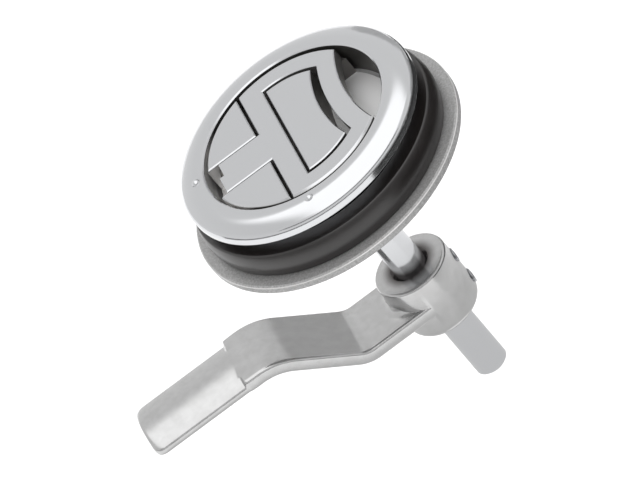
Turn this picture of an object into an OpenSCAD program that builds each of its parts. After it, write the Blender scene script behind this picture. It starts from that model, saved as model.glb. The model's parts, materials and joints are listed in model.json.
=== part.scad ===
// Flush pull ring latch for a hatch or deck.
// A polished bezel and cup are let into the deck. A pull ring lies flush in a rotor that turns in the
// cup, and the rotor's shaft swings a cranked cam arm behind the deck.
// The origin is on the turning axis at the bezel's seat on the deck. +Z points out of the deck, and
// +X runs from the ring's hinge towards the finger recess. The cam arm points along -X.

/* [Bezel and cup] */
// Diameter of the round opening in the bezel
opening_d = 58; // [52:0.5:66]
// Wall of the cup that passes through the deck
cup_wall = 3.3; // [3:0.1:6]
// Width of the bezel's lip on the deck
deck_lip = 5.7; // [4.5:0.1:9]
// Height of the bezel above the deck
bezel_h = 4.9; // [4.5:0.1:7]
// Width of the bezel's crowned rim, outside its flat face
bezel_rim_w = 6.5; // [5:0.1:6.8]
// Radius of the crowned rim
bezel_crown_r = 10; // [9:0.5:14]
// Radius of the bezel's rolled edge
bezel_round = 2.2; // [1.5:0.1:3]
// Chamfer round the opening
opening_chamfer = 0.4; // [0.2:0.1:1]
// Thickness of the cup's floor
cup_floor_t = 3; // [2.5:0.1:5]
// Diameter of the two index pins
index_pin_d = 2.5; // [1.6:0.1:3]
// Height of an index pin's dome
index_pin_dome = 0.8; // [0.3:0.1:1]
// Distance from the opening to the middle of an index pin
index_pin_inset = 2.9; // [2:0.1:3.5]
// Direction of the closed index pin, seen from the front
index_angle = 170; // [150:1:190]

/* [Deck clamp] */
// Room for the deck between the bezel and the gasket
deck_grip = 4.4; // [3:0.1:10]
// Thickness of the gasket
gasket_t = 8.7; // [4:0.1:12]
// How far the gasket reaches past the bezel
gasket_overhang = 1.5; // [0.2:0.1:3]
// How far the gasket's side bulges out
gasket_bulge = 0.9; // [0.3:0.1:1.5]
// How far the clamp flange reaches past the bezel
flange_overhang = 4.8; // [2:0.1:8]
// Thickness of the clamp flange
flange_t = 2.5; // [2:0.1:4]
// Chamfer round the clamp flange
flange_chamfer = 0.6; // [0.2:0.1:0.8]
// Gap left for drawing the clamp flange up
take_up = 0.4; // [0.2:0.1:1]
// Thread diameter of the clamp screws
clamp_screw_d = 4; // [3:0.5:5]
// Pitch circle diameter of the clamp screws
clamp_screw_pcd = 44; // [38:0.5:48]
// Number of clamp screws
clamp_screws_n = 4; // [3:1:6]
// Height of the bosses that take the clamp screws
screw_boss_h = 5; // [3:0.1:8]
// Wall of those bosses round the thread
screw_boss_wall = 2.5; // [1.5:0.1:3]
// Thickness of the split lock washers
lock_washer_t = 1; // [0.6:0.1:1.4]

/* [Rotor] */
// Gap between the rotor and the bezel's opening
rotor_gap = 1; // [0.3:0.05:1.2]
// How far the ring and rotor lie below the bezel's face
flush_drop = 0.2; // [0:0.05:0.6]
// Depth of the finger recess
recess_depth = 11; // [9:0.1:14]
// Width of the finger recess
recess_w = 34.4; // [28:0.2:38]
// Thickness of the rotor under the finger recess
rotor_floor_t = 2.8; // [2.6:0.1:5]
// Running gap between the rotor and the cup's floor
floor_gap = 0.3; // [0.2:0.05:0.6]
// Angle that the rotor turns through
turn_angle = 90; // [45:1:120]
// Diameter of the stop pin
stop_pin_d = 3; // [2:0.1:4]
// Distance of the stop pin from the axis
stop_pin_x = 18; // [17:0.1:20]

/* [Pull ring] */
// Thickness of the pull ring
ring_t = 4.5; // [3.8:0.1:6]
// Width of the ring's curved arms
ring_band = 6.1; // [4:0.05:7]
// Distance from the axis to the crossbar's edge at the window
crossbar_x = 2.5; // [1:0.1:5]
// Width of the crossbar
crossbar_w = 6.8; // [4:0.1:8]
// Width of the stem
stem_w = 12.8; // [10:0.1:14]
// Distance from the axis to the middle of the finger edge
finger_edge_x = 18.1; // [16:0.1:20]
// Radius of the hollow finger edge
finger_edge_r = 56; // [40:1:90]
// Width of the bar at the finger edge
finger_bar_w = 5.9; // [4:0.1:7]
// Radius of the window's hollow edge
window_edge_r = 65; // [40:1:90]
// Chamfer on the ring's and rotor's outer edges
edge_chamfer = 0.6; // [0.2:0.1:1]
// Chamfer along the other edges of the ring, the pad and the lands
edge_ease = 0.3; // [0.2:0.05:0.6]
// Gap between the stem and the lands beside it
stem_gap = 0.4; // [0.3:0.05:1]
// Gap between the crossbar and the lands
land_gap = 0.9; // [0.7:0.05:2]
// Gap between the crossbar and the centre pad
pad_gap = 0.85; // [0.7:0.05:2]
// Gap between the centre pad and the ring's arms
pad_side_gap = 1.2; // [0.8:0.05:2.5]
// Gap between the centre pad and the finger bar
pad_front_gap = 2.6; // [1.5:0.05:3.5]
// Radius of the centre pad's hollow edge
pad_edge_r = 53; // [40:1:90]

/* [Ring hinge] */
// Diameter of the hinge pin
hinge_pin_d = 3; // [2:0.1:3.5]
// Distance of the hinge pin from the rotor's rim
hinge_inset = 5.7; // [5.2:0.05:7]
// Height of the hinge pin above the ring's underside
hinge_rise = 0.4; // [0.2:0.1:1]
// Wall of the hinge barrel
barrel_wall = 1.4; // [1:0.1:1.6]
// Distance from the hinge pin to the end of the stem's top face
heel_l = 2.6; // [1.2:0.1:2.8]
// Wire diameter of the return spring
spring_wire = 0.9; // [0.6:0.05:1]
// Full coils of the return spring
spring_coils = 4; // [2:1:4]
// Length of the spring's legs
spring_leg = 7; // [6:0.1:8]
// Gap between the hinge pin and the spring's coils
coil_gap = 0.35; // [0.2:0.05:0.5]
// Gap round the coils in the heel
coil_bay_gap = 0.25; // [0.15:0.05:0.4]
// Gap beside the coils in the heel
coil_end_gap = 0.3; // [0.2:0.05:0.5]
// Distance from the stem's middle to the spring's bay
spring_bay_y = 0.6; // [0.2:0.1:1]
// Distance from the hinge pin to the notch that opens the spring's bay at the top
heel_notch_x = 1.1; // [0.5:0.1:1.8]
// Gap below the heel as it swings
heel_gap = 0.9; // [0.5:0.1:1.2]
// Length of the slot in front of the heel
heel_slot_l = 1.4; // [0.8:0.1:2]

/* [Shaft and bearing] */
// Diameter of the shaft
shaft_d = 10; // [8:0.1:12]
// Distance from the deck seat to the shaft's free end
shaft_reach = 104; // [96:1:140]
// Metal left in the rotor above the shaft's socket
socket_roof = 1.4; // [1:0.1:3]
// Chamfer at the shaft's free end
shaft_chamfer = 0.8; // [0.3:0.1:1.5]
// Diameter of the cross pin that drives the shaft
cross_pin_d = 3; // [2:0.1:3.5]
// Wall of the bearing bush
bush_wall = 2.5; // [1.5:0.1:3]
// Thickness of the bush's flange and of the thrust washer
bush_flange_t = 1; // [0.8:0.1:1.6]
// How far the bush's flange reaches past the bush
bush_flange_w = 1.7; // [1:0.1:2]
// How far the thrust washer reaches past the bearing boss
thrust_rim = 2; // [1:0.1:3]
// Metal between the thrust washer and the O-ring
gland_roof = 1.4; // [1:0.1:2]
// Wall of the bearing boss round the bush
bearing_boss_wall = 2.9; // [2:0.1:4]
// Height of the bearing boss below the cup's floor
bearing_boss_h = 12.6; // [10:0.1:16]
// Section diameter of the shaft's O-ring
seal_wire = 2.3; // [1.5:0.1:2.4]
// Height of the wave washer
wave_h = 1.2; // [0.9:0.1:2]
// Strip thickness of the wave washer
wave_t = 0.4; // [0.3:0.05:0.6]
// Thickness of the retaining ring and of the washer above it
clip_t = 1; // [0.8:0.1:1.5]
// Depth of the retaining ring's groove
clip_groove = 0.6; // [0.3:0.05:0.8]

/* [Cam arm] */
// Diameter of the hub
hub_d = 23; // [20:0.5:28]
// Height of the hub
hub_h = 20.8; // [18:0.1:26]
// Distance from the deck seat to the top of the hub
hub_drop = 58.2; // [52:0.1:64]
// Radius round the hub's lower edge
hub_round = 3.4; // [1:0.1:4]
// Chamfer round the hub's upper edge
hub_chamfer = 1; // [0.4:0.1:1.6]
// Countersink round the upper end of the hub's bore
bore_sink = 1.1; // [0.4:0.1:1.6]
// Radius of the cast fillet between the arm and the hub
hub_fillet = 4; // [2:0.1:5]
// Width of the arm
arm_w = 22.8; // [16:0.1:23]
// Thickness of the arm
arm_t = 4.3; // [3.5:0.1:5.5]
// Distance from the top of the hub to the arm's lower level
arm_step = 8; // [5:0.1:10]
// Rise of the arm from its lower to its upper level
arm_rise = 17.2; // [8:0.1:20]
// Slope of the arm between the two levels
arm_slope = 38.5; // [30:0.5:50]
// Distance from the axis to the first bend
bend_x = 24.5; // [20:0.1:30]
// Inner radius of the two bends
bend_r = 6; // [2:0.1:7]
// Length of the crowned pad at the arm's end
pad_l = 32.5; // [20:0.1:34]
// Length of the step where the pad begins
pad_step_l = 0.9; // [0.5:0.1:2]
// Distance from the axis to the arm's tip
arm_reach = 88.2; // [84:0.1:110]
// Height of the pad's crown
pad_crown = 1.8; // [0.5:0.1:2.2]
// Radius of the arm's long edges
arm_edge_r = 1; // [0.4:0.1:1.2]
// Radius of the tip's corners
tip_r = 3.2; // [1:0.1:5]
// Thread diameter of the two set screws
set_screw_d = 5; // [4:0.5:6]
// Distance from the top of the hub to the first set screw
set_screw_inset = 7; // [4:0.1:9]
// Distance between the set screws
set_screw_pitch = 9.4; // [7:0.1:11]
// How far the set screws stand out of the hub
set_screw_proud = 0.3; // [0.2:0.1:1.5]

/* [Fits] */
// Radial clearance of a turning or sliding fit
running_clearance = 0.05; // [0.02:0.01:0.1]
// Radial clearance of a fixed fit
fixed_clearance = 0.01; // [0.005:0.005:0.03]
// Gap between pieces that lie against each other
seat_gap = 0.1; // [0.05:0.01:0.2]

/* [Hidden] */
$fn = 96;

// A cut runs this far past the face that it opens
cut = 1;

// Radii from the opening outwards
opening_r = opening_d / 2;
cup_r = opening_r + cup_wall;
bezel_r = cup_r + deck_lip;
gasket_r = bezel_r + gasket_overhang;
flange_r = bezel_r + flange_overhang;
rotor_r = opening_r - rotor_gap;
ring_r = rotor_r - seat_gap;
window_r = rotor_r - ring_band;
pad_r = window_r - pad_side_gap;
flange_bore_r = cup_r + seat_gap * 3;

// Levels from the face inwards
ring_top = bezel_h - flush_drop;
ring_z = ring_top - ring_t;
channel_z = ring_z - seat_gap;
recess_z = ring_top - recess_depth;
rotor_z = recess_z - rotor_floor_t;
cup_z = rotor_z - floor_gap;
cup_bottom = cup_z - cup_floor_t;
screw_boss_z = cup_bottom - screw_boss_h;
gasket_top = -deck_grip;
flange_top = gasket_top - gasket_t;
flange_bottom = flange_top - flange_t;
web_top = screw_boss_z - take_up;
web_bottom = web_top - flange_t;

// Clamp screws
clamp_screw_r = clamp_screw_d / 2;
screw_boss_r = clamp_screw_r + screw_boss_wall;
screw_head_r = clamp_screw_d * 0.95;
screw_head_h = clamp_screw_d * 0.62;
screw_tip_z = cup_bottom + cup_floor_t / 2;
screw_angle = 45;

// Shaft, its bearing and what holds it
shaft_r = shaft_d / 2;
shaft_end = -shaft_reach;
socket_z = channel_z - socket_roof;
bush_r = shaft_r + running_clearance + bush_wall;
bush_flange_r = bush_r + bush_flange_w;
bearing_boss_r = bush_r + bearing_boss_wall;
thrust_r = bearing_boss_r + thrust_rim;
bearing_boss_z = cup_bottom - bearing_boss_h;
washer_z = cup_z - bush_flange_t + floor_gap - running_clearance;
gland_top = washer_z - gland_roof;
gland_h = seal_wire + 2 * seat_gap;
bush_top = gland_top - gland_h;
bush_z = bearing_boss_z - bush_flange_t;
wave_z = bush_z - wave_h;
clip_washer_z = wave_z - clip_t;
clip_z = clip_washer_z - clip_t;
groove_r = shaft_r - clip_groove;
cross_pin_r = cross_pin_d / 2;
cross_pin_z = (rotor_z + socket_z) / 2;
stop_pin_r = stop_pin_d / 2;
stop_pin_stand = rotor_floor_t * 0.55;
stop_angle = 180 + turn_angle / 2;

// Pull ring and hinge, with the hinge at -X
stem_half = stem_w / 2;
land_x = -crossbar_x - crossbar_w - land_gap;
land_y = stem_half + stem_gap;
pad_x = pad_gap - crossbar_x;
window_edge_x = finger_edge_x - finger_bar_w;
pad_edge_x = window_edge_x - pad_front_gap;
hinge_x = hinge_inset - rotor_r;
hinge_z = ring_z + hinge_rise;
hinge_r = hinge_pin_d / 2;
hinge_pin_half = sqrt(rotor_r * rotor_r - (hinge_r - hinge_x) * (hinge_r - hinge_x)) - 3 * seat_gap;
barrel_r = hinge_r + barrel_wall;
coil_r = hinge_r + coil_gap + spring_wire / 2;
coil_room = coil_r + spring_wire / 2 + coil_bay_gap;
coil_pitch = spring_wire * 1.1;
coil_y = spring_bay_y + coil_end_gap + spring_wire / 2;
leg_hole_r = spring_wire / 2 + seat_gap;
heel_room = max(barrel_r, coil_room) + heel_gap;
heel_end_x = hinge_x + heel_room + heel_slot_l;

// Cam arm, from the hub outwards
hub_r = hub_d / 2;
hub_top = -hub_drop;
hub_z = hub_top - hub_h;
arm_low = hub_top - arm_step - arm_t / 2;
arm_high = arm_low + arm_rise;
bend_run = arm_rise / tan(arm_slope);
bend_mid_r = bend_r + arm_t / 2;
arm_half = arm_w / 2;
fillet_bite = 5 * seat_gap;
set_screw_r = set_screw_d / 2;
set_screw_top = hub_top - set_screw_inset;
bore_r = shaft_r + running_clearance;
set_screw_tip = bore_r + seat_gap;

// Colours of the finishes
polished = "gainsboro";
cast_satin = "darkgray";
black_rubber = [0.13, 0.12, 0.12];
bronze = "peru";
white_nylon = "ivory";
spring_steel = "slategray";

// Upright cylinder between two levels
module disc(r, z0, z1) {
    translate([0, 0, z0])
        cylinder(h = z1 - z0, r = r);
}

// Upright ring between two levels
module collar(r_out, r_in, z0, z1) {
    difference() {
        disc(r_out, z0, z1);
        disc(r_in, z0 - cut, z1 + cut);
    }
}

// Round bar along X at a height
module bar_x(r, x0, x1, z) {
    translate([x0, 0, z])
        rotate([0, 90, 0])
            cylinder(h = x1 - x0, r = r);
}

// Round bar along Y at a place in the XZ plane
module bar_y(r, y0, y1, x, z) {
    translate([x, y0, z])
        rotate([-90, 0, 0])
            cylinder(h = y1 - y0, r = r);
}

// Flat outline raised between two levels
module raised(z0, z1) {
    translate([0, 0, z0])
        linear_extrude(height = z1 - z0)
            children();
}

// Flat rectangle between two pairs of sides
module square_between(x0, x1, y0, y1) {
    translate([x0, y0])
        square([x1 - x0, y1 - y0]);
}

// Copies round the axis on the clamp screws' circle
module at_clamp_screws() {
    for (i = [0 : clamp_screws_n - 1])
        rotate([0, 0, screw_angle + 360 * i / clamp_screws_n])
            translate([clamp_screw_pcd / 2, 0, 0])
                children();
}

// Puck with a chamfered top edge, shared by the rotor and the ring
module chamfered_puck(r, z0) {
    disc(r, z0, ring_top - edge_chamfer);
    translate([0, 0, ring_top - edge_chamfer])
        cylinder(h = edge_chamfer, r1 = r, r2 = r - edge_chamfer);
}

// Upright disc up to a level at the top, whose side leans in or out over the eased height
module leaning_disc(r, z0, top, lean) {
    disc(r, z0, ring_top - edge_ease);
    translate([0, 0, ring_top - edge_ease])
        cylinder(h = top - ring_top + edge_ease, r1 = r, r2 = r + lean);
}

// Block beyond an upright plane at a distance d in direction a, whose side leans over the eased height
module leaning_block(a, d, top, lean) {
    rotate([0, 0, a])
        translate([0, bezel_r, 0])
            rotate([90, 0, 0])
                linear_extrude(height = 2 * bezel_r)
                    polygon([
                        [d, rotor_z],
                        [2 * bezel_r, rotor_z],
                        [2 * bezel_r, top],
                        [d + lean, top],
                        [d, ring_top - edge_ease]
                    ]);
}

// Edges of a solid lean in, and those of a cut lean out and run past the face
module eased_disc(r, z0) {
    leaning_disc(r, z0, ring_top, -edge_ease);
}

module eased_block(a, d) {
    leaning_block(a, d, ring_top, edge_ease);
}

module flared_disc(r, z0) {
    leaning_disc(r, z0, ring_top + cut, edge_ease + cut);
}

module flared_block(a, d) {
    leaning_block(a, d, ring_top + cut, -edge_ease - cut);
}

// Places a disc so that its left side makes a hollow edge through x on the X axis
module hollow_edge(x, r) {
    translate([x + r, 0, 0])
        children();
}

// Bezel's section: a flat face, a crowned rim that runs into a rolled edge, and a chamfered opening
module bezel_section() {
    face_x = bezel_r - bezel_rim_w;
    roll_x = bezel_r - bezel_round;
    roll_share = (roll_x - face_x) / (bezel_crown_r - bezel_round);
    roll_z = bezel_h - bezel_crown_r + (bezel_crown_r - bezel_round) * sqrt(1 - roll_share * roll_share);
    difference() {
        union() {
            intersection() {
                square_between(opening_r, face_x + bezel_crown_r * roll_share, 0, bezel_h);
                union() {
                    square_between(opening_r, face_x, 0, bezel_h);
                    translate([face_x, bezel_h - bezel_crown_r])
                        circle(bezel_crown_r);
                }
            }
            square_between(opening_r, bezel_r, 0, roll_z);
            translate([roll_x, roll_z])
                circle(bezel_round);
        }
        translate([opening_r, bezel_h])
            rotate(45)
                square(opening_chamfer * sqrt(2), center = true);
        square_between(opening_r, bezel_r, -2 * bezel_round, 0);
    }
}

module bezel_housing() {
    color(polished)
    difference() {
        union() {
            rotate_extrude()
                bezel_section();
            collar(cup_r, opening_r, cup_bottom, bezel_h / 2);
            disc(cup_r, cup_bottom, cup_z);
            disc(bearing_boss_r, bearing_boss_z, cup_z);
            at_clamp_screws()
                disc(screw_boss_r, screw_boss_z, cup_z);
        }
        disc(thrust_r, washer_z, cup_z + cut);
        disc(shaft_r + 3 * seat_gap, gland_top - cut, cup_z);
        disc(bush_r + fixed_clearance, bearing_boss_z - cut, gland_top);
        at_clamp_screws()
            disc(clamp_screw_r + fixed_clearance, screw_boss_z - cut, screw_tip_z + seat_gap);
        at_stop_pin()
            disc(stop_pin_r + fixed_clearance, cup_bottom + seat_gap * 5, cup_z + cut);
        at_index_pins()
            disc(index_pin_d / 2 + fixed_clearance, bezel_h - index_pin_d, bezel_h + cut);
    }
}

// The two index marks are one turn angle apart
module at_index_pins() {
    for (a = [0, turn_angle])
        rotate([0, 0, index_angle + a])
            translate([opening_r + index_pin_inset, 0, 0])
                children();
}

module index_pins() {
    dome_r = (index_pin_d * index_pin_d / 4 + index_pin_dome * index_pin_dome) / (2 * index_pin_dome);
    color(polished)
    at_index_pins()
    union() {
        disc(index_pin_d / 2, bezel_h - index_pin_d + seat_gap, bezel_h);
        intersection() {
            disc(index_pin_d / 2, bezel_h, bezel_h + index_pin_d);
            translate([0, 0, bezel_h + index_pin_dome - dome_r])
                sphere(dome_r);
        }
    }
}

module deck_gasket() {
    side_r = (gasket_t * gasket_t / 4 + gasket_bulge * gasket_bulge) / (2 * gasket_bulge);
    color(black_rubber)
    rotate_extrude()
    intersection() {
        translate([flange_bore_r, flange_top])
            square([gasket_r, gasket_t]);
        translate([gasket_r - side_r, flange_top + gasket_t / 2])
            circle(side_r);
    }
}

// Hat-shaped clamp: a rim under the gasket and a web that the screws draw up
module clamp_flange() {
    color(cast_satin)
    difference() {
        union() {
            disc(flange_r, flange_bottom, flange_top - flange_chamfer);
            translate([0, 0, flange_top - flange_chamfer])
                cylinder(h = flange_chamfer, r1 = flange_r, r2 = flange_r - flange_chamfer);
            disc(flange_bore_r + flange_t, web_bottom, flange_bottom);
        }
        disc(flange_bore_r, web_top, flange_top + cut);
        disc(bearing_boss_r + 5 * seat_gap, web_bottom - cut, web_top + cut);
        at_clamp_screws()
            disc(clamp_screw_r + 2 * seat_gap, web_bottom - cut, web_top + cut);
    }
}

module clamp_screws() {
    head_z = web_bottom - lock_washer_t;
    color(polished)
    at_clamp_screws()
    difference() {
        union() {
            disc(clamp_screw_r, head_z, screw_tip_z);
            disc(screw_head_r, head_z - screw_head_h, head_z);
        }
        translate([0, 0, head_z - screw_head_h - cut])
            cylinder(h = screw_head_h * 0.6 + cut, r = clamp_screw_r * 0.7, $fn = 6);
    }
}

module lock_washers() {
    color(spring_steel)
    at_clamp_screws()
    difference() {
        collar(screw_head_r - seat_gap, clamp_screw_r + seat_gap, web_bottom - lock_washer_t, web_bottom);
        translate([0, -lock_washer_t / 4, web_bottom - lock_washer_t - cut])
            cube([screw_head_r + cut, lock_washer_t / 2, lock_washer_t + 2 * cut]);
    }
}

module shaft_bush() {
    color(bronze)
    difference() {
        union() {
            disc(bush_r, bush_z, bush_top);
            disc(bush_flange_r, bush_z, bearing_boss_z);
        }
        disc(shaft_r + running_clearance, bush_z - cut, bush_top + cut);
    }
}

module shaft_seal() {
    color(black_rubber)
    translate([0, 0, gland_top - gland_h / 2])
        rotate_extrude()
            translate([shaft_r + running_clearance + seal_wire / 2, 0])
                circle(d = seal_wire);
}

module thrust_washer() {
    color(white_nylon)
    collar(thrust_r - seat_gap, shaft_r + 3 * seat_gap, washer_z, washer_z + bush_flange_t);
}

// Place of the stop pin in the cup's floor
module at_stop_pin() {
    rotate([0, 0, stop_angle])
        translate([stop_pin_x, 0, 0])
            children();
}

module stop_pin() {
    color(polished)
    at_stop_pin()
        disc(stop_pin_r, cup_bottom + seat_gap * 6, rotor_z + stop_pin_stand);
}

// Height of the wave washer's strip at an angle: three waves in one turn
function wave(a) = (wave_h - wave_t) * (0.5 - 0.46 * cos(3 * a));

// Corner k of the wave washer's section at an angle, counted round the strip
function wave_corner(a, k) = let (
    r = (k == 0 || k == 3) ? shaft_r + 4 * seat_gap : bush_flange_r - seat_gap,
    z = wave_z + wave(a) + (k < 2 ? 0 : wave_t)
) [r * cos(a), r * sin(a), z];

module wave_washer() {
    steps = 72;
    points = [for (i = [0 : steps - 1], k = [0 : 3]) wave_corner(360 * i / steps, k)];
    faces = [
        for (i = [0 : steps - 1], k = [0 : 3], half = [0, 1]) let (
            j = (i + 1) % steps,
            n = (k + 1) % 4
        ) half == 0 ? [4 * i + k, 4 * j + k, 4 * j + n] : [4 * i + k, 4 * j + n, 4 * i + n]
    ];
    color(spring_steel)
        polyhedron(points = points, faces = faces);
}

// Fixed pad in the middle of the rotor
module centre_pad() {
    difference() {
        intersection() {
            eased_disc(pad_r, recess_z);
            eased_block(0, pad_x);
        }
        hollow_edge(pad_edge_x, pad_edge_r)
            flared_disc(pad_edge_r, rotor_z);
    }
}

// Two lands beside the stem
module lands() {
    for (side = [-90, 90])
        intersection() {
            chamfered_puck(rotor_r, recess_z);
            eased_block(180, -land_x);
            eased_block(side, land_y);
        }
}

// Finger recess, from the pad's hollow edge to the rim
module finger_recess() {
    intersection() {
        hollow_edge(pad_edge_x, pad_edge_r)
            disc(pad_edge_r, recess_z, ring_top + cut);
        translate([0, -recess_w / 2, rotor_z])
            cube([2 * rotor_r, recess_w, 2 * recess_depth]);
    }
}

module rotor() {
    color(polished)
    difference() {
        union() {
            disc(rotor_r, rotor_z, channel_z);
            centre_pad();
            lands();
        }
        finger_recess();
        translate([-rotor_r - cut, -land_y, hinge_z - heel_room])
            cube([heel_end_x + rotor_r + cut, 2 * land_y, ring_top]);
        bar_y(hinge_r + fixed_clearance, -bezel_r, bezel_r, hinge_x, hinge_z);
        disc(shaft_r + fixed_clearance, rotor_z - cut, socket_z + seat_gap);
        bar_x(cross_pin_r + fixed_clearance, -cross_pin_half() - seat_gap, pad_edge_x + cut, cross_pin_z);
        stop_groove();
        translate([0, coil_end_y(), 0])
            bar_x(leg_hole_r, heel_end_x - cut, hinge_x + spring_leg + seat_gap, hinge_z - coil_r);
    }
}

// Half the length of the cross pin, short of the finger recess
function cross_pin_half() = pad_edge_x - cut;

// Curved groove under the rotor that the stop pin runs in
module stop_groove() {
    groove_half = stop_pin_r + 3 * seat_gap;
    depth = stop_pin_stand + 3 * seat_gap;
    pin_angle = asin(groove_half / stop_pin_x);
    translate([0, 0, rotor_z - cut])
        rotate([0, 0, stop_angle - turn_angle - pin_angle])
            rotate_extrude(angle = turn_angle + 2 * pin_angle)
                translate([stop_pin_x - groove_half, 0])
                    square([2 * groove_half, depth + cut]);
}

module hinge_pin() {
    color(polished)
        bar_y(hinge_r, -hinge_pin_half, hinge_pin_half, hinge_x, hinge_z);
}

// Where the coil ends along Y, after its full coils and a half
function coil_end_y() = coil_y + coil_pitch * (spring_coils + 0.5);

// Points along the return spring's wire: upper leg, coils round the hinge pin, lower leg
function spring_path(steps) = concat(
    [[hinge_x + spring_leg, coil_y, hinge_z + coil_r]],
    [
        for (i = [0 : steps * (spring_coils + 0.5)]) let (a = 90 + 360 * i / steps)
        [hinge_x + coil_r * cos(a), coil_y + coil_pitch * i / steps, hinge_z + coil_r * sin(a)]
    ],
    [[hinge_x + spring_leg, coil_end_y(), hinge_z - coil_r]]
);

function unit(v) = v / norm(v);

// Ring of points round a wire at p, square to its direction t
function wire_ring(p, t, r, sides) = let (
    side = unit(cross(t, [0, 1, 0])),
    up = cross(side, t)
) [for (k = [0 : sides - 1]) p + r * (cos(360 * k / sides) * side + sin(360 * k / sides) * up)];

module ring_spring() {
    sides = 8;
    path = spring_path(20);
    last = len(path) - 1;
    points = [
        for (i = [0 : last]) let (t = unit(path[min(i + 1, last)] - path[max(i - 1, 0)]))
        each wire_ring(path[i], t, spring_wire / 2, sides)
    ];
    walls = [
        for (i = [0 : last - 1], k = [0 : sides - 1], half = [0, 1]) let (
            n = (k + 1) % sides,
            a = i * sides,
            b = a + sides
        ) half == 0 ? [a + k, b + n, b + k] : [a + k, a + n, b + n]
    ];
    ends = [
        [for (k = [sides - 1 : -1 : 0]) k],
        [for (k = [0 : sides - 1]) last * sides + k]
    ];
    color(spring_steel)
        polyhedron(points = points, faces = concat(walls, ends));
}

module drive_shaft() {
    color(polished)
    difference() {
        union() {
            disc(shaft_r, shaft_end + shaft_chamfer, socket_z);
            translate([0, 0, shaft_end])
                cylinder(h = shaft_chamfer, r1 = shaft_r - shaft_chamfer, r2 = shaft_r);
        }
        collar(shaft_r + cut, groove_r, clip_z - seat_gap, clip_washer_z);
        bar_x(cross_pin_r + fixed_clearance, -shaft_d, shaft_d, cross_pin_z);
    }
}

module cross_pin() {
    color(polished)
        bar_x(cross_pin_r, -cross_pin_half(), cross_pin_half(), cross_pin_z);
}

module clip_washer() {
    color(polished)
        collar(bush_flange_r, shaft_r + running_clearance, clip_washer_z, wave_z);
}

// Open ring with two drilled ears, snapped into the shaft's groove
module retaining_ring() {
    rim_r = shaft_r + clip_t * 1.4;
    ear_r = clip_t * 1.3;
    ear_angle = 18;
    color(spring_steel)
    raised(clip_z, clip_washer_z)
        difference() {
            union() {
                circle(rim_r);
                for (side = [-1, 1])
                    rotate(side * ear_angle)
                        translate([rim_r + ear_r / 3, 0])
                            circle(ear_r);
            }
            circle(groove_r + fixed_clearance);
            for (side = [-1, 1])
                rotate(side * ear_angle)
                    translate([rim_r + ear_r / 3, 0])
                        circle(ear_r / 2.4);
            translate([0, -ear_r / 2])
                square([2 * rim_r, ear_r]);
        }
}

// Window between the crossbar, the curved arms and the finger bar
module window() {
    difference() {
        intersection() {
            flared_disc(window_r, rotor_z);
            flared_block(0, -crossbar_x);
        }
        hollow_edge(window_edge_x, window_edge_r)
            leaning_disc(window_edge_r, rotor_z - cut, ring_top + 2 * cut, -edge_ease - 2 * cut);
    }
}

// Ring without its stem
module loop() {
    difference() {
        intersection() {
            chamfered_puck(ring_r, ring_z);
            eased_block(0, -crossbar_x - crossbar_w);
        }
        hollow_edge(finger_edge_x, finger_edge_r)
            flared_disc(finger_edge_r, rotor_z);
        window();
    }
}

// Bar of the stem's width along X, with eased top edges
module stem_bar(x0, x1, z0) {
    translate([x0, 0, 0])
        rotate([90, 0, 90])
            linear_extrude(height = x1 - x0)
                polygon([
                    [-stem_half, z0],
                    [stem_half, z0],
                    [stem_half, ring_top - edge_ease],
                    [stem_half - edge_ease, ring_top],
                    [edge_ease - stem_half, ring_top],
                    [-stem_half, ring_top - edge_ease]
                ]);
}

// Side view of the heel: the stem's sloped end down to the hinge barrel
module heel_side() {
    translate([hinge_x, hinge_z])
        circle(barrel_r);
    polygon([
        [hinge_x - heel_l, ring_top],
        [hinge_x - barrel_r, hinge_z],
        [hinge_x, hinge_z],
        [hinge_x + barrel_r, ring_z],
        [hinge_x + barrel_r, ring_top]
    ]);
}

module heel() {
    intersection() {
        translate([0, stem_half, 0])
            rotate([90, 0, 0])
                linear_extrude(height = stem_w)
                    heel_side();
        stem_bar(-rotor_r, 0, hinge_z - 2 * barrel_r);
    }
}

module pull_ring() {
    color(polished)
    difference() {
        union() {
            loop();
            intersection() {
                union() {
                    stem_bar(hinge_x, -crossbar_x - crossbar_w / 2, ring_z);
                    heel();
                }
                chamfered_puck(ring_r, ring_z - 2 * barrel_r);
            }
        }
        bar_y(hinge_r + running_clearance, -stem_w, stem_w, hinge_x, hinge_z);
        bar_y(coil_room, spring_bay_y, stem_w, hinge_x, hinge_z);
        translate([hinge_x - 2 * coil_room, spring_bay_y, hinge_z - 2 * coil_room])
            cube([2 * coil_room, stem_w, 2 * coil_room + coil_r]);
        translate([hinge_x - 2 * coil_room, spring_bay_y, hinge_z - 2 * coil_room])
            cube([2 * coil_room - heel_notch_x, stem_w, 2 * coil_room + ring_top]);
        translate([0, coil_y, 0])
            bar_x(leg_hole_r, hinge_x, hinge_x + spring_leg + seat_gap, hinge_z + coil_r);
    }
}

// Middle line of the arm in the XZ plane as [x, z, slope], with x running out from the axis
function arm_line(steps) = let (
    set_back = bend_mid_r * tan(arm_slope / 2),
    first = bend_x - set_back,
    second = bend_x + bend_run - set_back * cos(arm_slope),
    second_z = arm_high - set_back * sin(arm_slope)
) concat(
    [for (i = [0 : 3 * steps - 1]) [first * i / (3 * steps), arm_low, 0]],
    [
        for (i = [0 : steps]) let (a = arm_slope * i / steps)
        [first + bend_mid_r * sin(a), arm_low + bend_mid_r * (1 - cos(a)), a]
    ],
    [
        for (i = [0 : steps]) let (a = arm_slope * (1 - i / steps))
        [
            second + bend_mid_r * (sin(arm_slope) - sin(a)),
            second_z + bend_mid_r * (cos(a) - cos(arm_slope)),
            a
        ]
    ]
);

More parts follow.
